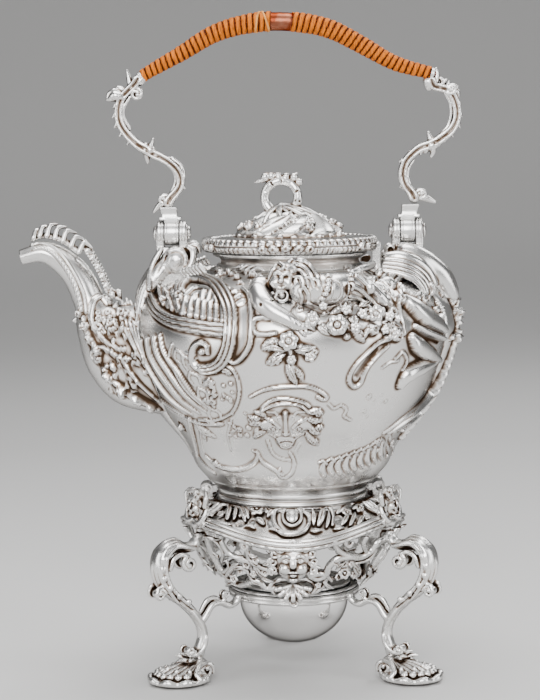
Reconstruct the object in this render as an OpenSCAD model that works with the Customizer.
// Rococo tea kettle with a swing handle, on a three-legged stand with a spirit lamp.
// Z is up, the feet stand on z = 0 and the kettle's axis is the Z axis.
// The spout points along -X. Azimuths are degrees from the front (-Y) towards +X.

/* [Kettle body] */
// Radius of the belly at its widest
belly_r = 88.5; // [84:0.5:92]
// Height of the body from its base to its shoulder top
body_h = 125; // [120:1:132]
// Height of the body's base above the table
base_z = 106; // [104:0.5:110]
// Radius of the body's base
base_r = 43.5; // [42:0.5:45]
// Thickness of the raised silver
wall = 1.5; // [1:0.1:2]
// Height of the neck
neck_h = 8.7; // [7:0.1:11]
// How far the lip reaches past the neck
lip_step = 5; // [4:0.5:6]
// Height of the moulded foot ring
foot_ring_h = 10; // [8:0.5:12]

/* [Lid] */
// Outer radius of the lid's border
lid_r = 50.5; // [49:0.5:53]
// Width of that border
lid_border_w = 6.3; // [5.8:0.1:7]
// Height of the lid's border
lid_border_h = 8; // [6:0.5:10]
// Radius of the domed centre
dome_r = 28.7; // [26:0.5:31]
// Height of the dome above the border
dome_h = 13.2; // [10:0.2:16]
// Depth of the flange that enters the neck
flange_h = 5; // [3:0.5:6]
// Clearance of that flange in the neck
flange_gap = 0.8; // [0.7:0.1:1.2]
// Radius of the twig loop, to the middle of the twig
loop_r = 9.3; // [8.5:0.1:11]
// Thickness of the twig
twig_d = 4; // [3:0.2:5]
// Radius of the hinge pin
lid_pin_r = 1.1; // [0.8:0.1:1.3]

/* [Bail handle] */
// Distance from the lid's edge to the middle of each pivot
pivot_gap = 16.5; // [15.5:0.5:19.5]
// Height of the pivots above the lid's underside
pivot_rise = 11; // [9:0.5:16]
// Radius of the pivot barrels
barrel_r = 7.2; // [6:0.2:8]
// Length of each pivot barrel with its two cheeks
barrel_w = 17.5; // [16:0.5:20]
// Radius of the pivot pins
bail_pin_r = 2.2; // [1.6:0.1:2.8]
// Height of the grip's middle above the pivots
bail_h = 119.5; // [112:0.5:124]
// Radius of the grip at its middle
grip_r = 5.7; // [5:0.1:7]
// Radius of the grip at its ends
grip_end_r = 3.2; // [2.8:0.1:4]
// Thickness of the wicker
wicker_t = 1.1; // [0.8:0.1:1.5]
// Width of the bare plate in the middle of the grip
plate_w = 12; // [8:1:20]

/* [Spout] */
// Distance from the belly to the tip
spout_reach = 64.5; // [60:0.5:70]
// Height of the tip above the body's top
spout_rise = 7.3; // [3:0.1:11]
// Half height of the mouth
mouth_h = 4.4; // [4:0.1:5]
// Half width of the mouth
mouth_w = 6.5; // [5.5:0.1:8]
// Thickness of the spout's wall
spout_wall = 1.2; // [1:0.1:1.3]

/* [Stand] */
// Distance from the kettle's base out to the middle of the rim's moulding
rim_margin = 18.5; // [17:0.5:21]
// How far the rim lies below the kettle's base
rim_drop = 20; // [18:0.5:22]
// Rise of the rim at the legs, and its dip between them
rim_dip = 4.5; // [3:0.5:6]
// Half height of the rim's moulding
rim_t = 3.6; // [3:0.1:4.5]
// Thickness of the pierced band
band_t = 1.4; // [1:0.1:2]
// Width of the ledge that the kettle stands on
seat_w = 4.5; // [3.5:0.5:6]
// Distance from the rim out to the middle of each foot
foot_spread = 13; // [10:1:18]
// Half length of a foot
foot_half = 18; // [15:1:20]
// Height of a foot
foot_h = 13; // [11:0.5:14]
// Half thickness of a leg at its slender part
leg_t = 2.6; // [2.2:0.1:3.2]

/* [Tilting hinge and locking pin] */
// Distance from the kettle's base to the hinge pin and to the locking pin
lug_reach = 6; // [6:0.5:7.5]
// How far both pins lie below the kettle's base
lug_drop = 2; // [1:0.5:3]
// Radius of both pins
lug_pin_r = 1.5; // [1:0.1:1.8]
// Radius of the lugs' eyes
lug_eye_r = 3.8; // [3.4:0.1:4]
// Thickness of the kettle's lugs
lug_w = 6; // [4:0.5:7]
// Thickness of each cheek of the stand's forks
cheek_w = 2.7; // [2:0.1:3.5]

/* [Spirit lamp] */
// Outer radius of the bowl
lamp_r = 31.3; // [29:0.1:31.8]
// Depth of the bowl below its bulge
lamp_depth = 26.2; // [24:0.2:30]
// Height of the straight side between the bulge and the ring that holds the lamp
lamp_side_h = 2; // [1:0.5:6]
// Thickness of the bowl
lamp_wall = 1.2; // [0.9:0.1:1.6]
// Width of that ring with its clearance round the bowl
ring_w = 6.7; // [6:0.1:8]
// How far that ring lies below the rim
ring_drop = 44; // [42:0.5:46]
// Thickness of that ring
ring_h = 5; // [4:0.5:6]
// Radius of the wick tube
wick_tube_r = 6; // [5:0.2:8]
// Radius of the wick
wick_r = 4.6; // [3.5:0.1:4.8]

/* [Clearances] */
// Gap where one piece rests on another
seat_gap = 0.3; // [0.2:0.05:0.5]
// Radial clearance of the pins in their holes
pin_fit = 0.05; // [0.02:0.01:0.1]
// Radial play of the locking pin, which drops loosely into its holes
lock_play = 0.4; // [0.3:0.05:0.6]
// Gap between the leaves of a hinge
leaf_gap = 0.3; // [0.2:0.05:0.5]

/* [Hidden] */
$fn = 64;
bead_fn = 6;
rim_step = 7.5;
cut = 1;
skin_gap = 0.15;

// ---- Heights and radii that follow from the sizes above ----
top_z = base_z + body_h;
neck_top = top_z + neck_h;
border_in = lid_r - lid_border_w;
lip_r = border_in - 0.2;
neck_r = lip_r - lip_step;
mouth_r = neck_r - wall;
lid_z = neck_top + seat_gap;
lid_top = lid_z + lid_border_h;
pivot_x = lid_r + pivot_gap;
pivot_z = lid_z + pivot_rise;
lid_hinge_x = lid_r - 1.5;
lid_hinge_z = lid_z + 3;
lid_eye_r = 2.6;
lid_leaf = 3;
lid_ear = 3;
foot_bottom = base_z - foot_ring_h;
seat_top = foot_bottom - seat_gap;
seat_hole_r = base_r - seat_w;
seat_in = base_r + flange_gap;
seat_out = seat_in + 1.7;
barrel_leaf = barrel_w / 2;
cheek_x = barrel_w / 4;
lug_x = base_r + lug_reach;
lug_z = base_z - lug_drop;
rim_r = base_r + rim_margin;
rim_z = base_z - rim_drop;
foot_x = rim_r + foot_spread;
ring_r = lamp_r + ring_w;
ring_z = rim_z - ring_drop;
lamp_side_z = ring_z - lamp_side_h;
lamp_bottom_z = lamp_side_z - lamp_depth;
leg_angles = [-60, 60, 180];
crotch_z = pivot_z - barrel_r - 0.6;

// ---- Small helpers ----
function unit(v) = v / norm(v);
function at(v, i) = is_list(v) ? v[i] : v;
function catmull(a, b, c, d, t) =
    ((2 * b) + (c - a) * t + (2 * a - 5 * b + 4 * c - d) * t * t
        + (3 * b - a - 3 * c + d) * t * t * t) / 2;
// A smooth run through the points p, with n steps to a span.
function spline(p, n) =
    let (m = len(p) - 1)
    [for (i = [0 : m - 1], k = [0 : n - 1])
        catmull(p[max(i - 1, 0)], p[i], p[i + 1], p[min(i + 2, m)], k / n), p[m]];
function reversed(p) = [for (i = [len(p) - 1 : -1 : 0]) p[i]];
function mirror_y(p) = [p[0], -p[1], p[2]];
// A point at azimuth az, radius r and height z.
function polar(az, r, z) = [r * sin(az), -r * cos(az), z];

// Faces of a tube of m rings with n points each; wrap joins the last ring to the first.
function tube_faces(m, n, wrap = false) =
    [for (i = [0 : m - (wrap ? 1 : 2)], k = [0 : n - 1])
        let (a = i * n + k, b = i * n + (k + 1) % n, j = (i + 1) % m, c = j * n + (k + 1) % n, d = j * n + k)
        each [[a, d, c], [a, c, b]]];

// One elliptical ring of a sweep: half size w beside the path and h along the side direction.
function sweep_ring(p, t, side, w, h, n) =
    let (u = unit(cross(side, t)), v = cross(t, u))
    [for (k = [0 : n - 1]) p + w * cos(360 * k / n) * u + h * sin(360 * k / n) * v];

// A solid bar along a path; side is the direction across the path's plane.
module sweep(path, side, w, h, n = 10) {
    m = len(path);
    rings = [for (i = [0 : m - 1])
        let (t = unit(path[min(i + 1, m - 1)] - path[max(i - 1, 0)]))
        each sweep_ring(path[i], t, side, at(w, i), at(h, i), n)];
    start_cap = [[for (k = [0 : n - 1]) k]];
    end_cap = [[for (k = [n - 1 : -1 : 0]) (m - 1) * n + k]];
    polyhedron(points = rings, faces = concat(start_cap, tube_faces(m, n), end_cap));
}

// A hollow shell between outer and inner rings, which are lists of equal length.
module shell(outer, inner) {
    m = len(outer);
    n = len(outer[0]);
    points = concat([for (r = outer) each r], [for (r = inner) each r]);
    o = m * n;
    inside = [for (f = tube_faces(m, n)) [for (i = [2 : -1 : 0]) f[i] + o]];
    ends = [for (k = [0 : n - 1])
        let (j = (k + 1) % n, a = (m - 1) * n)
        each [[k, j, o + j], [k, o + j, o + k], [a + j, a + k, o + a + k], [a + j, o + a + k, o + a + j]]];
    polyhedron(points = points, faces = concat(tube_faces(m, n), inside, ends));
}

// A cast strand: rounded links through the points, with radius r at each.
module strand(points, r) {
    for (i = [0 : len(points) - 2])
        hull() {
            translate(points[i]) sphere(r = at(r, i), $fn = bead_fn);
            translate(points[i + 1]) sphere(r = at(r, i + 1), $fn = bead_fn);
        }
}

module boss(p, r) {
    hull() translate(p) sphere(r = r, $fn = bead_fn + 2);
}

// ---- The body's outline, as shares of its height and of its flare ----
lower_shape = [
    [0, 0], [0.02, 0.055], [0.067, 0.185], [0.112, 0.275], [0.18, 0.34], [0.25, 0.45],
    [0.32, 0.58], [0.41, 0.73], [0.505, 0.855], [0.6, 0.945], [0.69, 1]
];
upper_shape = [[0.78, 0.975], [0.872, 0.83], [0.94, 0.56], [0.985, 0.15], [1, 0]];
shoulder_r = neck_r + 3;
body_line = spline(concat(
    [for (p = lower_shape) [base_r + (belly_r - base_r) * p[1], base_z + body_h * p[0]]],
    [for (p = upper_shape) [shoulder_r + (belly_r - shoulder_r) * p[1], base_z + body_h * p[0]]]), 2);
body_lookup = [for (p = body_line) [p[1], p[0]]];
function body_r(z) = lookup(z, body_lookup);
// A point on the body at azimuth az and at pct of its height, raised by h off its skin.
function skin(az, pct, h = 0) =
    let (z = base_z + body_h * pct / 100, slope = (body_r(z + 1) - body_r(z - 1)) / 2, n = unit([1, -slope]))
    polar(az, body_r(z) + h * n[0], z + h * n[1]);
function on_skin(list, h) = [for (p = list) skin(p[0], p[1], h)];

module body_blank(grow = 0) {
    line = [for (p = body_line) [p[0] + grow, p[1]]];
    rotate_extrude() polygon(concat([[0, base_z]], line, [[0, top_z]]));
}

// Keeps applied work outside the body, so that it sits on the skin, and clear of the lid.
lid_room = 1;
module applied() {
    difference() {
        children();
        body_blank(skin_gap);
        translate([0, 0, lid_z - lid_room]) cylinder(r = lid_r + lid_room, h = 2 * lid_border_h);
    }
}

// The same work on the front and, mirrored, on the back.
module on_back(back) {
    if (back) mirror([0, 1, 0]) children();
    else children();
}

// ---- Kettle ----
spout_hole_r = 12;
spout_hole_z = top_z - 50;

inner_line = [for (i = [1 : len(body_line) - 2])
    let (t = unit(body_line[i + 1] - body_line[i - 1]))
    if (body_line[i][1] > base_z + 2 * wall && body_line[i][1] < top_z - 2 * wall)
        body_line[i] + wall * [-t[1], t[0]]];
inner_lookup = [for (p = inner_line) [p[1], p[0]]];
// The bowl and the body above it meet in a soldered seam.
seam_z = base_z + body_h * 0.37;
seam = [body_r(seam_z), seam_z];
seam_inside = [lookup(seam_z, inner_lookup), seam_z];
module kettle_body() {
    color("silver") difference() {
        rotate_extrude() polygon(concat(
            [seam], [for (p = body_line) if (p[1] > seam_z) p], [[mouth_r, top_z], [mouth_r, top_z - wall]],
            reversed([for (p = inner_line) if (p[1] > seam_z) p]), [seam_inside]));
        translate([-belly_r, 0, spout_hole_z]) rotate([0, 90, 0])
            cylinder(r = spout_hole_r, h = belly_r / 2, center = true);
    }
}

module kettle_bowl() {
    color("silver") rotate_extrude() polygon(concat(
        [[0, base_z]], [for (p = body_line) if (p[1] < seam_z) p], [seam, seam_inside],
        reversed([for (p = inner_line) if (p[1] < seam_z) p]),
        [[base_r - wall, base_z + wall], [0, base_z + wall]]));
}

module foot_ring() {
    h = foot_ring_h;
    z = foot_bottom;
    color("silver") rotate_extrude() polygon([
        [base_r - 5, z], [base_r, z], [base_r, z + h * 0.18], [base_r - 1.4, z + h * 0.26],
        [base_r - 0.4, z + h * 0.38], [base_r - 0.4, z + h * 0.5], [base_r - 1.8, z + h * 0.6],
        [base_r - 0.8, z + h * 0.72], [base_r, z + h * 0.86], [base_r, z + h], [base_r - 5, z + h]]);
}

module neck_collar() {
    color("silver") rotate_extrude() polygon([
        [mouth_r, top_z], [shoulder_r, top_z], [shoulder_r - 1, top_z + 1.4], [neck_r, top_z + 2.2],
        [neck_r, neck_top - 3.4], [lip_r - 1, neck_top - wall - 0.4], [lip_r, neck_top - wall],
        [lip_r, neck_top], [mouth_r, neck_top]]);
}

// Radius of the cross pin's hole: the tilting pin is held, and the locking pin drops in loosely.
function lug_hole_r(side) = lug_pin_r + (side < 0 ? pin_fit : lock_play);

// A lug on the foot ring with an eye for a cross pin; side is -1 at the spout and 1 opposite.
module kettle_lug(side) {
    color("silver") difference() {
        union() {
            translate([side * lug_x, 0, lug_z]) rotate([90, 0, 0])
                cylinder(r = lug_eye_r, h = lug_w, center = true);
            web = lug_x - base_r - 0.2;
            translate([side * (lug_x - web / 2), 0, lug_z]) cube([web, lug_w, 3.6], center = true);
        }
        translate([side * lug_x, 0, lug_z]) rotate([90, 0, 0])
            cylinder(r = lug_hole_r(side), h = lug_w + 2 * cut, center = true);
    }
}
module hinge_lug() { kettle_lug(-1); }
module lock_lug() { kettle_lug(1); }

// Stations of the spout: how far the centre lies beyond the belly and above the body's top,
// lean of the section, half height and half width.
spout_stations = [
    [-14.5, -51, 4, 34, 30],
    [3.5, -48, 14, 30, 26],
    [15.5, -40, 30, 22.5, 20],
    [23, -29.5, 48, 13.5, 14],
    [26.5, -19, 60, 9.2, 10.5],
    [30, -10, 52, 8.6, 9.4],
    [36, -0.5, 40, 7.6, 8.6],
    [44.5, 6.6, 22, 6.6, 8],
    [53.5, 9.8, 4, 5.4, 7.2],
    [64.5, 7.3, -14, 4.4, 6.5]
];
spout_split = 4;
spout_n = 16;
spout_seat = 0.5;
spout_last = len(spout_stations) - 1;
// The stations, moved so that the tip follows its own sizes.
function spout_station(i) =
    let (s = spout_stations[i], e = spout_stations[spout_last], f = max(0, i - 1) / (spout_last - 1))
    [-belly_r - s[0] - f * (spout_reach - e[0]), top_z + s[1] + f * (spout_rise - e[1]), s[2],
        s[3] + (i == spout_last ? mouth_h - e[3] : 0), s[4] + (i == spout_last ? mouth_w - e[4] : 0)];
// One ring of the spout, inset by its wall.
function spout_ring(i, inset) =
    let (s = spout_station(i), lean = s[2])
    [for (k = [0 : spout_n - 1])
        let (
            up = (s[3] - inset) * cos(360 * k / spout_n),
            across = (s[4] - inset) * sin(360 * k / spout_n),
            z = s[1] + up * cos(lean))
        i == 0
            ? [-sqrt(pow(body_r(s[1] + up) + spout_seat, 2) - across * across), across, s[1] + up]
            : [s[0] + up * sin(lean), across, z]];
function spout_rings(first, last, inset) = [for (i = [first : last]) spout_ring(i, inset)];

module spout_root() {
    color("silver") shell(spout_rings(0, spout_split, 0), spout_rings(0, spout_split, spout_wall));
}

module spout_neck() {
    color("silver") shell(
        spout_rings(spout_split, spout_last, 0), spout_rings(spout_split, spout_last, spout_wall));
}

// The leaf crest and beads along the top of the spout.
crest_drop = 0.6;
module spout_crest() {
    top = [for (i = [spout_split + 1 : spout_last - 1])
        let (s = spout_station(i), up = s[3] - crest_drop)
        [s[0] + up * sin(s[2]), 0, s[1] + up * cos(s[2])]];
    color("silver") difference() {
        union() {
            strand(spline(top, 3), 3.4);
            translate([0, 0, 4]) strand([for (i = [1 : len(top) - 2]) top[i]], 2.6);
        }
        spout_space(spout_split, spout_last);
    }
}

// A socket that carries one end of the bail: two cheeks on a flaring neck.
socket_foot_r = 12.5;
socket_foot_z = pivot_z - 40;
module bail_socket(side) {
    color("silver") difference() {
        union() {
            for (x = [-1, 1] * (barrel_leaf - cheek_x / 2))
                translate([side * pivot_x + x, 0, pivot_z]) rotate([0, 90, 0])
                    cylinder(r = barrel_r, h = cheek_x, center = true);
            for (x = [-1, 1] * (barrel_leaf - cheek_x / 2))
                translate([side * pivot_x + x, 0, (pivot_z + crotch_z) / 2])
                    cube([cheek_x, barrel_r * 1.6, pivot_z - crotch_z + 0.2], center = true);
            translate([side * pivot_x, 0, 0]) rotate_extrude() polygon([
                [0, socket_foot_z], [socket_foot_r, socket_foot_z], [socket_foot_r - 0.5, crotch_z - 16],
                [10.5, crotch_z - 11], [8.4, crotch_z - 6], [8, crotch_z - 2.4], [barrel_leaf, crotch_z - 1.2],
                [barrel_leaf, crotch_z], [0, crotch_z]]);
        }
        body_blank();
        translate([side * pivot_x, 0, pivot_z]) rotate([0, 90, 0])
            cylinder(r = bail_pin_r + pin_fit, h = barrel_w + 2 * cut, center = true);
    }
}
module bail_socket_left() { bail_socket(-1); }
module bail_socket_right() { bail_socket(1); }

// Both pivot pins, with a domed head at each end.
module bail_pins() {
    reach = barrel_leaf + leaf_gap;
    color("silver") for (side = [-1, 1])
        translate([side * pivot_x, 0, pivot_z]) rotate([0, 90, 0]) rotate_extrude() polygon([
            [0, -reach - 2], [2.4, -reach - 1.8], [4.2, -reach - 0.8], [4.4, -reach], [bail_pin_r, -reach],
            [bail_pin_r, reach], [4.4, reach], [4.2, reach + 0.8], [2.4, reach + 1.8], [0, reach + 2]]);
}

// The broad scroll that runs from the right socket over the shoulder and down the belly.
module shoulder_scroll() {
    spine = [[80, 92, 6], [90, 88, 10], [90, 80, 8], [90, 70, 6], [90, 60, 5], [90, 49, 4.5], [90, 36, 4],
        [90, 27, 3]];
    color("silver") difference() {
        union() for (lane = [-12, -4, 4, 12])
            strand([for (p = spine) skin(90 + lane * (0.6 + p[1] / 160), p[1], p[2] - abs(lane) / 5)],
                [6, 6.6, 6.2, 5.8, 5.2, 4.6, 4.2, 3.4]);
        body_blank(skin_gap);
        translate([pivot_x, 0, 0]) cylinder(r = socket_foot_r + leaf_gap, h = pivot_z);
    }
}

// A winged child's head, arm and body lying along the shoulder.
module cherub(back) {
    torso = [[4, 94], [11, 93], [21, 91], [29, 88], [38, 83]];
    arm = [[-14, 92], [-6, 88], [0, 84], [6, 80]];
    color("silver") on_back(back) applied() {
        boss(skin(-3, 95, 7), 12);
        boss(skin(3, 98, 7), 9.5);
        strand(on_skin(spline(torso, 2), 3), [8, 8, 8.5, 8.5, 8, 8, 7.5, 7, 6]);
        strand(on_skin(arm, 2), [4.5, 4.8, 4.2, 3.4]);
    }
}
module cherub_front() { cherub(false); }
module cherub_back() { cherub(true); }

// Flowers below the cherub, with a drop of flowers and leaves.
module garland(back) {
    flowers = [[12, 76], [18, 73], [26, 75], [33, 74], [40, 76]];
    drop = [[-1, 70], [-3, 65], [0, 60], [-1, 54]];
    color("silver") on_back(back) applied() {
        strand(on_skin(concat([[-1, 70], [6, 73]], flowers), 1), 3.4);
        for (f = flowers) boss(skin(f[0], f[1], 1.5), 5);
        boss(skin(-1, 71, 1.5), 5.2);
        strand(on_skin(drop, 1), [3.4, 3, 2.6, 1.8]);
        boss(skin(7, 65, 1), 3.4);
    }
}
module garland_front() { garland(false); }
module garland_back() { garland(true); }

// The space that the spout takes, grown by a gap, from one station to another.
module spout_space(first, last) {
    for (i = [first : last - 1])
        hull() {
            for (p = spout_ring(i, -skin_gap)) translate(p) cube(0.02, center = true);
            for (p = spout_ring(i + 1, -skin_gap)) translate(p) cube(0.02, center = true);
        }
}

// A point on the spout at station i, turned from its top by turn and raised by h.
function on_spout(i, turn, h) =
    let (s = spout_station(i), up = (s[3] + h) * cos(turn), across = (s[4] + h) * sin(turn))
    let (z = s[1] + up * cos(s[2]))
    i == 0
        ? [-sqrt(pow(body_r(s[1] + up) + h, 2) - across * across), -across, s[1] + up]
        : [s[0] + up * sin(s[2]), -across, z];

// The scrolled frame round the shell at the spout side, and the folds that run from it over the
// root of the spout.
module shell_frame(back) {
    scroll = [[-50, 94], [-40, 95], [-29, 92], [-23, 83], [-22, 73], [-28, 61], [-36, 63]];
    sill = [[-66, 84], [-54, 80], [-41, 77], [-30, 76]];
    outer = [[-18, 90], [-13, 80], [-14, 69], [-20, 61]];
    fan = [[-60, 91], [-52, 91], [-44, 91], [-36, 89]];
    curl = [[-74, 97], [-79, 92], [-79, 84], [-71, 77]];
    folds = [[[-62, 75], [-55, 62], [-55, 47]], [[-50, 72], [-44, 57], [-46, 40]]];
    spout_folds = [[[0, 128], [1, 122], [2, 128]], [[0, 100], [1, 92], [2, 90]], [[0, 70], [1, 60], [2, 52]]];
    spout_scroll = [[4, 60], [4, 98], [2, 112]];
    color("silver") on_back(back) difference() {
        union() {
            strand(on_skin(scroll, 1.4), 3.6);
            strand(on_skin(sill, 1.6), 3.6);
            strand(on_skin(outer, 0.8), 2.8);
            for (f = fan) strand([skin(f[0], f[1], 0.5), skin(f[0], f[1] - 9, 0.5)], 2.4);
            strand(on_skin(curl, 2.4), 3.4);
            for (f = folds) strand(on_skin(f, 1.2), [3, 3.6, 2.6]);
            for (f = spout_folds) strand([for (p = f) on_spout(p[0], p[1], 1)], [3, 3.4, 2.6]);
            strand([for (p = spout_scroll) on_spout(p[0], p[1], 0.8)], [2.4, 2.8, 2.4]);
        }
        body_blank(skin_gap);
        spout_space(0, spout_split + 1);
        translate([-pivot_x, 0, 0]) cylinder(r = socket_foot_r + leaf_gap, h = pivot_z);
    }
}
module shell_frame_front() { shell_frame(false); }
module shell_frame_back() { shell_frame(true); }

// The hairpin scroll, the two smooth waves and the ridges at the side away from the spout.
module wave_scrolls(back) {
    hairpin = [[36, 70], [28, 66], [21, 57], [23, 51], [28, 58]];
    upper_wave = [[46, 86], [51, 81], [58, 74], [66, 69]];
    lower_wave = [[44, 70], [50, 66], [57, 62]];
    ridge = [[70, 64], [65, 52], [60, 40], [58, 27]];
    color("silver") on_back(back) applied() {
        strand(on_skin(hairpin, 0.8), [2, 2.6, 3, 2.8, 2]);
        strand(on_skin(upper_wave, 1), [3, 5, 6, 5]);
        strand(on_skin(lower_wave, 1), [3, 4.5, 5]);
        strand(on_skin(ridge, 1), [5, 4.6, 4, 3]);
    }
}
module wave_scrolls_front() { wave_scrolls(false); }
module wave_scrolls_back() { wave_scrolls(true); }

// An animal mask low on the front and on the back.
module animal_masks() {
    curl = [[9, 40], [14, 37], [15, 31]];
    color("silver") for (back = [false, true])
        on_back(back) applied() {
            hull() {
                translate(skin(-9, 37, 0)) sphere(r = 4, $fn = bead_fn);
                translate(skin(6, 37, 0)) sphere(r = 4, $fn = bead_fn);
                translate(skin(-2, 28, 1.5)) sphere(r = 5, $fn = bead_fn);
                translate(skin(-3, 22, 0.5)) sphere(r = 3.4, $fn = bead_fn);
            }
            strand(on_skin(curl, 0.5), 2.6);
            strand(on_skin([[-9, 40], [-14, 38], [-15, 33]], 0.5), 2.2);
            boss(skin(-2, 30, 4.5), 3.6);
        }
}

// Scrolls round the base at the spout side and a fan of lobes at the other.
module base_border() {
    scroll = [[-58, 9], [-42, 9], [-27, 12], [-17, 18], [-7, 11]];
    color("silver") for (back = [false, true])
        on_back(back) applied() {
            strand(on_skin(scroll, 0.5), [2.2, 2.6, 2.8, 3, 2.4]);
            for (i = [0 : 6])
                strand([skin(18 + i * 7, 7, 0.2), skin(18 + i * 7, 15 + i, 0.6)], [2.1, 2.7]);
        }
}

// ---- Lid and its hinge ----
module lid_hinge_lug() {
    ear_y = lid_leaf + leaf_gap + lid_ear / 2;
    foot_z = top_z - 6;
    color("silver") difference() {
        union() for (y = [-1, 1] * ear_y) {
            translate([lid_hinge_x, y, lid_hinge_z]) rotate([90, 0, 0])
                cylinder(r = lid_eye_r, h = lid_ear, center = true);
            translate([lid_hinge_x, y, (lid_hinge_z + foot_z) / 2])
                cube([lid_eye_r * 1.7, lid_ear, lid_hinge_z - foot_z], center = true);
        }
        body_blank();
        translate([lid_hinge_x, 0, lid_hinge_z]) rotate([90, 0, 0])
            cylinder(r = lid_pin_r + pin_fit, h = 4 * ear_y, center = true);
    }
}

module lid_hinge_pin() {
    reach = lid_leaf + leaf_gap + lid_ear + leaf_gap;
    head = lid_pin_r + 0.9;
    color("silver") translate([lid_hinge_x, 0, lid_hinge_z]) rotate([90, 0, 0]) rotate_extrude() polygon([
        [0, -reach - 1], [head, -reach - 0.6], [head, -reach], [lid_pin_r, -reach],
        [lid_pin_r, reach], [head, reach], [head, reach + 0.6], [0, reach + 1]]);
}

module lid_cover() {
    t = 1.3;
    edge = border_in - 0.2;
    rise = dome_h - 0.6;
    dome = [for (a = [0 : 10 : 90]) [dome_r * cos(a) + 6 * sin(a) * cos(a), lid_top + 0.6 + rise * sin(a)]];
    inside = [for (p = dome) if (p[0] > 4) [p[0] - t, p[1] - t]];
    color("silver") rotate_extrude() polygon(concat(
        [[edge - t, lid_z], [edge, lid_z], [edge, lid_top - 1], [dome_r + 1.5, lid_top]], dome,
        [[0, lid_top + dome_h - 2 * t]], reversed(inside), [[dome_r, lid_top - t - 0.2], [edge - t, lid_top - t - 1]]));
}

// The leafed border, notched where the hinge passes.
module lid_border() {
    h = lid_border_h;
    notch_w = 2 * (lid_leaf + lid_ear + 2 * leaf_gap) + 3;
    color("silver") difference() {
        rotate_extrude() polygon([
            [border_in, lid_z + 0.4], [lid_r - 2, lid_z + 0.4], [lid_r - 0.6, lid_z + 0.2 * h],
            [lid_r, lid_z + 0.45 * h], [lid_r - 0.4, lid_z + 0.75 * h], [lid_r - 2, lid_top],
            [border_in, lid_top - 0.4]]);
        translate([lid_r + 1.2, 0, lid_z + h / 2]) cube([2 * (lid_r - border_in) + 2.8, notch_w, 2 * h], center = true);
    }
}

module lid_flange() {
    r = mouth_r - flange_gap;
    color("silver") rotate_extrude() polygon([
        [r - wall, lid_z - flange_h], [r, lid_z - flange_h], [r, lid_z + 1], [border_in - 1.7, lid_z + 1],
        [border_in - 1.7, lid_z + 2.2], [r - wall, lid_z + 2.2]]);
}

// The leaf of the lid's hinge, which turns on the pin.
module lid_knuckle() {
    color("silver") difference() {
        union() {
            translate([lid_hinge_x, 0, lid_hinge_z]) rotate([90, 0, 0])
                cylinder(r = lid_eye_r, h = 2 * lid_leaf, center = true);
            web = lid_hinge_x - border_in;
            translate([lid_hinge_x - web / 2, 0, lid_hinge_z + 0.6]) cube([web, 2 * lid_leaf, 3], center = true);
        }
        translate([lid_hinge_x, 0, lid_hinge_z]) rotate([90, 0, 0])
            cylinder(r = lid_pin_r + pin_fit, h = 2 * lid_leaf + 2 * cut, center = true);
    }
}

finial_x = -4.5;
finial_foot = lid_top + dome_h;
finial_z = finial_foot + loop_r + 0.2;
// A twig bent into a loop, with roots spreading over the dome.
module finial_twig() {
    loop = [for (a = [0 : 30 : 360]) [finial_x + loop_r * sin(a), 0, finial_z + loop_r * cos(a)]];
    strand(loop, twig_d / 2);
    boss([finial_x - 5, 0, finial_z + loop_r + 0.6], 2.4);
    boss([finial_x + 4, 0, finial_z + loop_r + 0.4], 2.2);
    strand([loop[9], [finial_x - loop_r - 5, 0, finial_z + 6]], [1.8, 1]);
    for (root = [[100, 19], [160, 15], [200, 15], [250, 17], [20, 15], [-40, 16]])
        strand([[finial_x, 0, finial_foot + 1.5], polar(root[0], root[1] * 0.6, finial_foot - 0.5),
            polar(root[0], root[1], finial_foot - 5.5)], [2.6, 2.4, 1.4]);
}

module lid_finial() {
    rise = dome_h - 0.6;
    dome = [for (a = [0 : 10 : 90]) [dome_r * cos(a) + 6 * sin(a) * cos(a) + skin_gap,
        lid_top + 0.6 + skin_gap + rise * sin(a)]];
    color("silver") difference() {
        finial_twig();
        rotate_extrude() polygon(concat([[0, lid_top]], dome));
    }
}

// The nut that holds the finial from inside the lid.
module finial_nut() {
    color("silver") translate([0, 0, lid_top + dome_h - 2.6 - seat_gap - 2.4]) union() {
        cylinder(r = 4, h = 2.4, $fn = 6);
        translate([0, 0, -1.4]) cylinder(r = 1.8, h = 1.6);
    }
}

// ---- Bail handle ----
knuckle_block_h = 7;
knuckle_block_z = barrel_r + 0.7;
knuckle_top = pivot_z + knuckle_block_z + knuckle_block_h;
module bail_knuckle(side) {
    leaf = barrel_w - 2 * cheek_x - 2 * leaf_gap;
    color("silver") translate([side * pivot_x, 0, pivot_z]) difference() {
        union() {
            rotate([0, 90, 0]) cylinder(r = barrel_r - 0.2, h = leaf, center = true);
            translate([0, 0, knuckle_block_z / 2 + 0.5]) cube([leaf, 9, knuckle_block_z + 1], center = true);
            translate([side * 2, 0, knuckle_block_z + knuckle_block_h / 2]) cube([10, 9, knuckle_block_h], center = true);
        }
        rotate([0, 90, 0]) cylinder(r = bail_pin_r + pin_fit, h = barrel_w, center = true);
    }
}
module bail_knuckle_left() { bail_knuckle(-1); }
module bail_knuckle_right() { bail_knuckle(1); }

// The grip's line: way out from the axis, as a share of the pivots', and drop below its top, as a
// share of the bail's height.
grip_line = [
    [-1.254, 0.2695], [-1.142, 0.23], [-0.8955, 0.155], [-0.627, 0.067], [-0.373, 0.0167], [-0.112, 0],
    [0.149, 0.0125], [0.373, 0.046], [0.612, 0.1213], [0.91, 0.2134], [1.239, 0.2644]
];
grip_top = pivot_z + bail_h;
grip_path = spline([for (p = grip_line) [p[0] * pivot_x, 0, grip_top - bail_h * p[1]]], 2);
grip_last = len(grip_path) - 1;
function grip_radius(i) = grip_end_r + (grip_r - grip_end_r) * sin(180 * i / grip_last);
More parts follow.
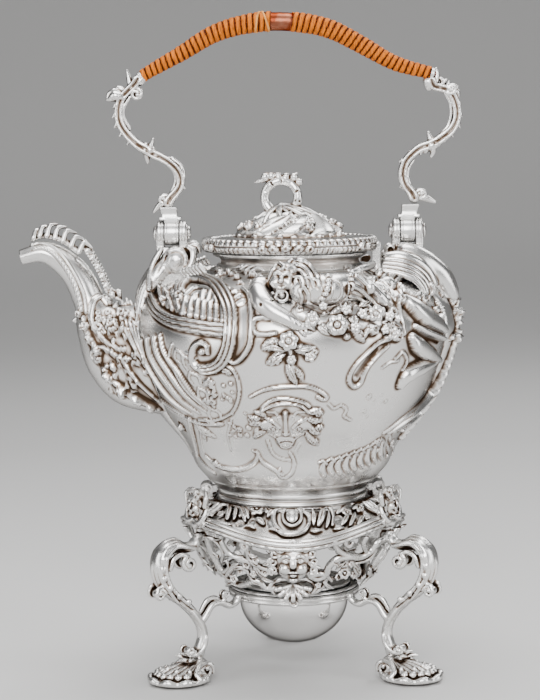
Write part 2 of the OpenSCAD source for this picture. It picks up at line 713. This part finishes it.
// Radii of the core inside the wicker, and how much wider its seat in each arm is.
grip_core_r = [for (i = [0 : grip_last]) grip_radius(i) - wicker_t - 0.1];
grip_fit = [for (i = [0 : grip_last]) skin_gap];

// Points of one bail arm: way out from the pivot, as a share of the pivot's distance from the axis,
// and height above the pivot, as a share of the bail's.
arm_line = [
    [0.03, 0.128], [0.052, 0.14], [0.0075, 0.18], [-0.045, 0.222], [-0.045, 0.268], [0.0075, 0.318],
    [0.097, 0.352], [0.187, 0.377], [0.276, 0.406], [0.358, 0.448], [0.425, 0.498], [0.448, 0.552],
    [0.433, 0.607], [0.381, 0.649], [0.299, 0.67], [0.246, 0.69], [0.236, 0.708]
];
arm_r = [4.2, 3.6, 3, 2.8, 2.8, 2.8, 2.8, 3, 3.4, 3, 2.8, 2.8, 2.8, 2.8, 3, 2.8, 2.6];
module bail_arm(side) {
    function arm_point(p) = [side * pivot_x * (1 + p[0]), 0, pivot_z + bail_h * p[1]];
    spurs = [
        [[0.104, 0.156], [0.21, 0.166]], [[0.276, 0.406], [0.2, 0.455]], [[0.276, 0.406], [0.343, 0.36]],
        [[0.388, 0.53], [0.32, 0.47]], [[0.358, 0.66], [0.433, 0.7]], [[0.299, 0.67], [0.35, 0.75]]
    ];
    color("silver") difference() {
        union() {
            strand([for (p = arm_line) arm_point(p)], arm_r);
            for (s = spurs) strand([arm_point(s[0]), arm_point(s[1])], [2.6, 1.2]);
            strand([arm_point([0.052, 0.14]), arm_point([0.12, 0.156])], [3, 2.8]);
        }
        translate([side * pivot_x, 0, knuckle_top + skin_gap - 20]) cube([60, 40, 40], center = true);
        sweep(grip_path, [0, 1, 0], grip_core_r + grip_fit, grip_core_r + grip_fit, 10);
    }
}
module bail_arm_left() { bail_arm(-1); }
module bail_arm_right() { bail_arm(1); }

function grip_rings(first, last, inset) =
    [for (i = [first : last])
        let (t = unit(grip_path[min(i + 1, grip_last)] - grip_path[max(i - 1, 0)]), r = grip_radius(i) - inset)
        sweep_ring(grip_path[i], t, [0, 1, 0], r, r, 10)];

module grip_core() {
    color("silver") sweep(grip_path, [0, 1, 0], grip_core_r, grip_core_r, 10);
}

// Two wound sleeves of wicker, apart in the middle where the plate shows.
module grip_wicker() {
    left = max([for (i = [0 : grip_last]) if (grip_path[i][0] < -3 - plate_w / 2) i]);
    right = min([for (i = [0 : grip_last]) if (grip_path[i][0] > -3 + plate_w / 2) i]);
    color("peru") {
        shell(grip_rings(1, left, 0), grip_rings(1, left, wicker_t));
        shell(grip_rings(right, grip_last - 1, 0), grip_rings(right, grip_last - 1, wicker_t));
    }
}

// ---- Stand ----
function rim_height(az) = rim_z - rim_dip * cos(3 * az);
band_in = seat_out;
band_out = rim_r - 2.4;
// Height of the band's top at radius r and azimuth az.
function band_top(r, az) =
    let (f = (r - band_in) / (band_out - band_in))
    (seat_top - 0.8) * (1 - f) + (rim_height(az) + 1) * f;

module stand_seat() {
    color("silver") rotate_extrude() polygon([
        [seat_hole_r, seat_top - 4], [seat_out - 0.1, seat_top - 4], [seat_out - 0.1, seat_top + 1.2],
        [seat_in, seat_top + 1.2], [seat_in, seat_top], [seat_hole_r, seat_top]]);
}

// A ring whose section changes with azimuth; section(az) lists [r, z] points anticlockwise.
module lobed_ring(sections, n) {
    polyhedron(points = [for (s = sections) each s], faces = tube_faces(len(sections), n, true));
}

module band_blank(lift) {
    sections = [for (az = [0 : rim_step : 359]) [
        polar(az, band_in + 0.1, band_top(band_in, az) + lift),
        polar(az, band_in + 0.1, band_top(band_in, az) - band_t),
        polar(az, band_out, band_top(band_out, az) - band_t),
        polar(az, band_out, band_top(band_out, az) + lift)]];
    lobed_ring(sections, 4);
}

// The sloping band between the seat and the rim, pierced between its flowers.
module rim_band() {
    mid = (band_in + band_out) / 2;
    off = (band_out - band_in) * 0.15;
    color("silver") difference() {
        band_blank(0);
        for (az = [15 : 30 : 345])
            hull() {
                translate(polar(az - 4, mid - off, 0)) cylinder(r = off, h = base_z, $fn = bead_fn);
                translate(polar(az + 4, mid + off, 0)) cylinder(r = off, h = base_z, $fn = bead_fn);
            }
    }
}

// The lobed moulding that edges the stand's top.
module stand_rim() {
    section = [[-2.2, -1], [1, -1], [2.8, -0.5], [3, 0.1], [2, 0.8], [-1, 1], [-2.2, 0.8]];
    sections = [for (az = [0 : rim_step : 359])
        [for (p = section) polar(az, rim_r + p[0], rim_height(az) + p[1] * rim_t)]];
    color("silver") lobed_ring(sections, len(section));
}

apron_top = rim_z - rim_dip - rim_t;
apron_bottom = ring_z + 2;
// A point on the apron's cone.
function apron_point(az, z) =
    polar(az, ring_r + (rim_r - 2 - ring_r) * (z - apron_bottom) / (apron_top + 3 - apron_bottom), z);
// A point just under the rim, and one at a share of the apron's height.
function under_rim(az) = apron_point(az, rim_height(az) - rim_t - 2.6);
function on_apron(az, share) = apron_point(az, apron_bottom + share * (apron_top - apron_bottom));
// Open scrolls hung from the rim; each list starts under the rim and goes on by azimuth and share.
module apron(angle) {
    left = [[-51, 0.885], [-47, 0.62], [-38, 0.443], [-27, 0.413], [-19, 0.56], [-14, 0.708]];
    right = [[47, 0.944], [38, 0.797], [28, 0.767], [20, 0.65], [16, 0.472], [10, 0.354]];
    ties = [
        [[-24, 0.708], [-27, 0.413]], [[24, 0.885], [28, 0.767]], [[-10, 0.826]], [[10, 0.826]], [[0, 0.767]]
    ];
    tie_tops = [-27, 26, -12, 12, 0];
    color("silver") rotate([0, 0, angle]) {
        strand(concat([under_rim(-49)], [for (p = left) on_apron(p[0], p[1])]), 2.3);
        strand(concat([under_rim(49)], [for (p = right) on_apron(p[0], p[1])]), 2.3);
        for (i = [0 : len(ties) - 1])
            strand(concat([under_rim(tie_tops[i])], [for (p = ties[i]) on_apron(p[0], p[1])]), 2.2);
        hull() {
            translate(on_apron(-6, 0.767)) sphere(r = 5, $fn = bead_fn);
            translate(on_apron(6, 0.767)) sphere(r = 5, $fn = bead_fn);
            translate(on_apron(0, 0.59) + [0, -4, 0]) sphere(r = 6.5, $fn = bead_fn);
            translate(on_apron(0, 0.383)) sphere(r = 4, $fn = bead_fn);
        }
        hull() {
            translate(on_apron(-12, 0.265)) sphere(r = 2.4, $fn = bead_fn);
            translate(on_apron(12, 0.265)) sphere(r = 2.4, $fn = bead_fn);
            translate(on_apron(0, 0.147)) sphere(r = 3, $fn = bead_fn);
        }
    }
}
module apron_front() { apron(0); }
module apron_rear_left() { apron(-120); }
module apron_rear_right() { apron(120); }

// Distance from the axis to the foot's scroll, where the leg stands.
heel_x = foot_x - foot_half + 5;
// Points of a leg: distance outwards from the rim and share of the rim's height.
leg_shape = [
    [2, 0.919], [7, 0.874], [13, 0.886], [19, 0.866], [23.5, 0.797], [22.8, 0.692], [18.4, 0.602],
    [10.7, 0.528], [3.6, 0.441], [-0.9, 0.356], [-2.2, 0.277]
];
leg_line = concat(
    [[rim_r + 0.5, rim_z + rim_dip - rim_t - 0.5]],
    [for (p = leg_shape) [rim_r + p[0], rim_z * p[1]]],
    [[heel_x - 0.8, foot_h + 5], [heel_x, foot_h + seat_gap]]);
// Half thicknesses of the leg in and across its plane.
leg_w = [3, 3.2, 3.4, 4, 4.8, 5.2, 4.2, 3.2, leg_t, leg_t, leg_t, leg_t, leg_t, leg_t + 0.4];
leg_h = [5, 5, 5.4, 6, 6.4, 6, 5, 4.2, 3.8, 3.6, 3.6, 3.8, 4, 4.4];
module leg(angle) {
    steps = 2;
    path = spline([for (p = leg_line) [p[0], 0, p[1]]], steps);
    w = spline(leg_w, steps);
    h = spline(leg_h, steps);
    color("silver") rotate([0, 0, angle - 90]) sweep(path, [0, 1, 0], w, h, 10);
}
module leg_left() { leg(leg_angles[0]); }
module leg_right() { leg(leg_angles[1]); }
module leg_rear() { leg(leg_angles[2]); }

// A shell foot: a scroll under the leg's end and a fan of lobes spread outwards.
module foot(angle) {
    heel = foot_x - foot_half;
    toe = foot_x + foot_half;
    color("silver") rotate([0, 0, angle - 90]) difference() {
        union() {
            for (a = [-60 : 20 : 60])
                hull() {
                    translate([heel + 8, 0, 0]) cylinder(r = 4, h = foot_h * 0.75, $fn = bead_fn);
                    translate([heel + 10 + (toe - heel - 13) * cos(a), (foot_half - 2) * sin(a), 0])
                        cylinder(r1 = 3, r2 = 2, h = foot_h * 0.28, $fn = bead_fn);
                }
            hull() {
                translate([heel_x, 0, foot_h / 2]) rotate([90, 0, 0])
                    cylinder(r = foot_h / 2, h = 12, center = true, $fn = 12);
                translate([heel_x, 0, 0]) cylinder(r = 6, h = foot_h, $fn = 12);
            }
        }
        translate([0, 0, -50]) cube([400, 400, 100], center = true);
    }
}
module foot_left() { foot(leg_angles[0]); }
module foot_right() { foot(leg_angles[1]); }
module foot_rear() { foot(leg_angles[2]); }

// The three masks that stand on the rim over the legs.
module leg_masks() {
    z = rim_z + rim_dip + rim_t + 0.2;
    color("silver") for (az = leg_angles) {
        for (s = [-1, 1])
            strand([polar(az + s * 5, rim_r, z + 14), polar(az + s * 9, rim_r - 0.5, z + 11),
                polar(az + s * 8, rim_r - 0.5, z + 5)], [2.6, 2.2, 1.8]);
        hull() {
            translate(polar(az - 5, rim_r - 0.5, z + 3)) sphere(r = 3, $fn = bead_fn);
            translate(polar(az + 5, rim_r - 0.5, z + 3)) sphere(r = 3, $fn = bead_fn);
            translate(polar(az - 6, rim_r, z + 11)) sphere(r = 4.5, $fn = bead_fn);
            translate(polar(az + 6, rim_r, z + 11)) sphere(r = 4.5, $fn = bead_fn);
            translate(polar(az, rim_r + 2.4, z + 8)) sphere(r = 4.5, $fn = bead_fn);
            translate(polar(az, rim_r, z + 14)) sphere(r = 3.6, $fn = bead_fn);
        }
    }
}

// Points of a bracket: distance outwards from the lamp's ring and height from the ring's underside.
bracket_in = 0.35;
bracket_out = rim_r - 2.3 - ring_r;
bracket_line = [
    [bracket_out, -7.2], [bracket_out * 0.83, -2], [bracket_out * 0.59, 1], [bracket_out * 0.35, 0],
    [bracket_out * 0.17, 0.5]
];
module lamp_brackets() {
    path = spline([for (p = bracket_line) [ring_r + p[0], 0, ring_z + p[1]]], 3);
    color("silver") for (az = leg_angles)
        rotate([0, 0, az - 90]) union() {
            sweep(concat(path, [[ring_r + bracket_in, 0, ring_z + 2]]), [0, 1, 0], 1.9, 2.4, 8);
        }
}

module lamp_ring() {
    bore = lamp_r + 0.8;
    color("silver") rotate_extrude() polygon([
        [bore, ring_z], [ring_r - 1, ring_z], [ring_r, ring_z + 1], [ring_r, ring_z + ring_h - 1.4],
        [ring_r - 1, ring_z + ring_h], [bore, ring_z + ring_h]]);
}

// A fork on the stand for one of the cross pins; side is -1 at the spout and 1 opposite.
module pin_fork(side) {
    out = lug_x + lug_eye_r;
    inner = lug_x - lug_eye_r + 0.4;
    y = lug_w / 2 + leaf_gap + cheek_w / 2;
    color("silver") difference() {
        union() for (s = [-1, 1])
            translate([0, s * y, 0]) {
                translate([side * lug_x, 0, lug_z]) rotate([90, 0, 0])
                    cylinder(r = lug_eye_r, h = cheek_w, center = true);
                rotate([90, 0, 0]) linear_extrude(height = cheek_w, center = true) polygon([
                    [side * inner, lug_z], [side * inner, band_top(inner, 90) + 0.9],
                    [side * out, band_top(out, 90) + 0.9], [side * out, lug_z]]);
            }
        translate([side * lug_x, 0, lug_z]) rotate([90, 0, 0])
            cylinder(r = lug_hole_r(side), h = 4 * y, center = true);
    }
}
module hinge_fork() { pin_fork(-1); }
module lock_fork() { pin_fork(1); }

module tilt_pin() {
    reach = lug_w / 2 + leaf_gap + cheek_w + leaf_gap;
    head = lug_pin_r + 1.3;
    color("silver") translate([-lug_x, 0, lug_z]) rotate([90, 0, 0]) rotate_extrude() polygon([
        [0, -reach - 1.4], [head - 1, -reach - 1.2], [head, -reach - 0.4], [head, -reach], [lug_pin_r, -reach],
        [lug_pin_r, reach], [head, reach], [head, reach + 0.4], [head - 1, reach + 1.2], [0, reach + 1.4]]);
}

// The locking pin, drawn back until its tip is clear of the kettle's lug.
module locking_pin() {
    tip = lug_w / 2 + leaf_gap + 0.4;
    travel = lug_w + leaf_gap + cheek_w;
    shoulder = lug_w / 2 + leaf_gap + cheek_w + leaf_gap + travel;
    color("silver") translate([lug_x, 0, lug_z]) rotate([-90, 0, 0]) rotate_extrude() polygon([
        [0, tip], [lug_pin_r - 0.4, tip], [lug_pin_r, tip + 0.5], [lug_pin_r, shoulder], [2.6, shoulder],
        [3.4, shoulder + 1.4], [3.6, shoulder + 3.2], [2.6, shoulder + 5], [0, shoulder + 5.8]]);
}

// ---- Spirit lamp ----
lamp_seat = ring_z + ring_h + seat_gap;
lamp_top = lamp_seat + 1.2;
lamp_flange_r = ring_r - 1;
module lamp_bowl() {
    drop = lamp_side_z - lamp_bottom_z;
    inner = lamp_r - lamp_wall;
    outside = [for (a = [-90 : 10 : 0]) [lamp_r * cos(a), lamp_side_z + drop * sin(a)]];
    inside = [for (a = [0 : -10 : -90]) [inner * cos(a), lamp_side_z + (drop - lamp_wall) * sin(a)]];
    color("silver") rotate_extrude() polygon(concat(
        outside, [[lamp_r, lamp_seat], [lamp_flange_r, lamp_seat], [lamp_flange_r, lamp_top], [inner, lamp_top]], inside));
}

cover_z = lamp_top + seat_gap;
cover_r = lamp_r + 1.5;
tube_bore = wick_tube_r + 0.2;
module lamp_cover() {
    color("silver") rotate_extrude() polygon([
        [tube_bore, cover_z + 1.6], [cover_r - 4, cover_z], [cover_r, cover_z], [cover_r, cover_z + 1.2],
        [cover_r - 4, cover_z + 1.4], [tube_bore, cover_z + 3.2]]);
}

wick_tube_h = 8;
module wick_tube() {
    z = cover_z + 3.4;
    color("silver") rotate_extrude() polygon([
        [wick_r + 0.3, cover_z - 3], [wick_tube_r, cover_z - 3], [wick_tube_r, z], [wick_tube_r + 2.4, z],
        [wick_tube_r + 2.4, z + 0.8], [wick_tube_r, z + 0.8], [wick_tube_r, cover_z + wick_tube_h],
        [wick_r + 0.3, cover_z + wick_tube_h]]);
}

module wick() {
    color("ivory") translate([0, 0, cover_z - 5]) cylinder(r = wick_r, h = wick_tube_h + 6.5);
}

stand_seat();
rim_band();
stand_rim();
apron_front();
apron_rear_left();
apron_rear_right();
leg_left();
leg_right();
leg_rear();
foot_left();
foot_right();
foot_rear();
leg_masks();
lamp_brackets();
lamp_ring();
hinge_fork();
lock_fork();
tilt_pin();
locking_pin();
kettle_body();
kettle_bowl();
foot_ring();
neck_collar();
hinge_lug();
lock_lug();
spout_root();
spout_neck();
spout_crest();
bail_socket_left();
bail_socket_right();
bail_pins();
shoulder_scroll();
cherub_front();
cherub_back();
garland_front();
garland_back();
shell_frame_front();
shell_frame_back();
wave_scrolls_front();
wave_scrolls_back();
animal_masks();
base_border();
lid_hinge_lug();
lid_hinge_pin();
lid_cover();
lid_border();
lid_flange();
lid_knuckle();
lid_finial();
finial_nut();
bail_knuckle_left();
bail_knuckle_right();
bail_arm_left();
bail_arm_right();
grip_core();
grip_wicker();
lamp_bowl();
lamp_cover();
wick_tube();
wick();
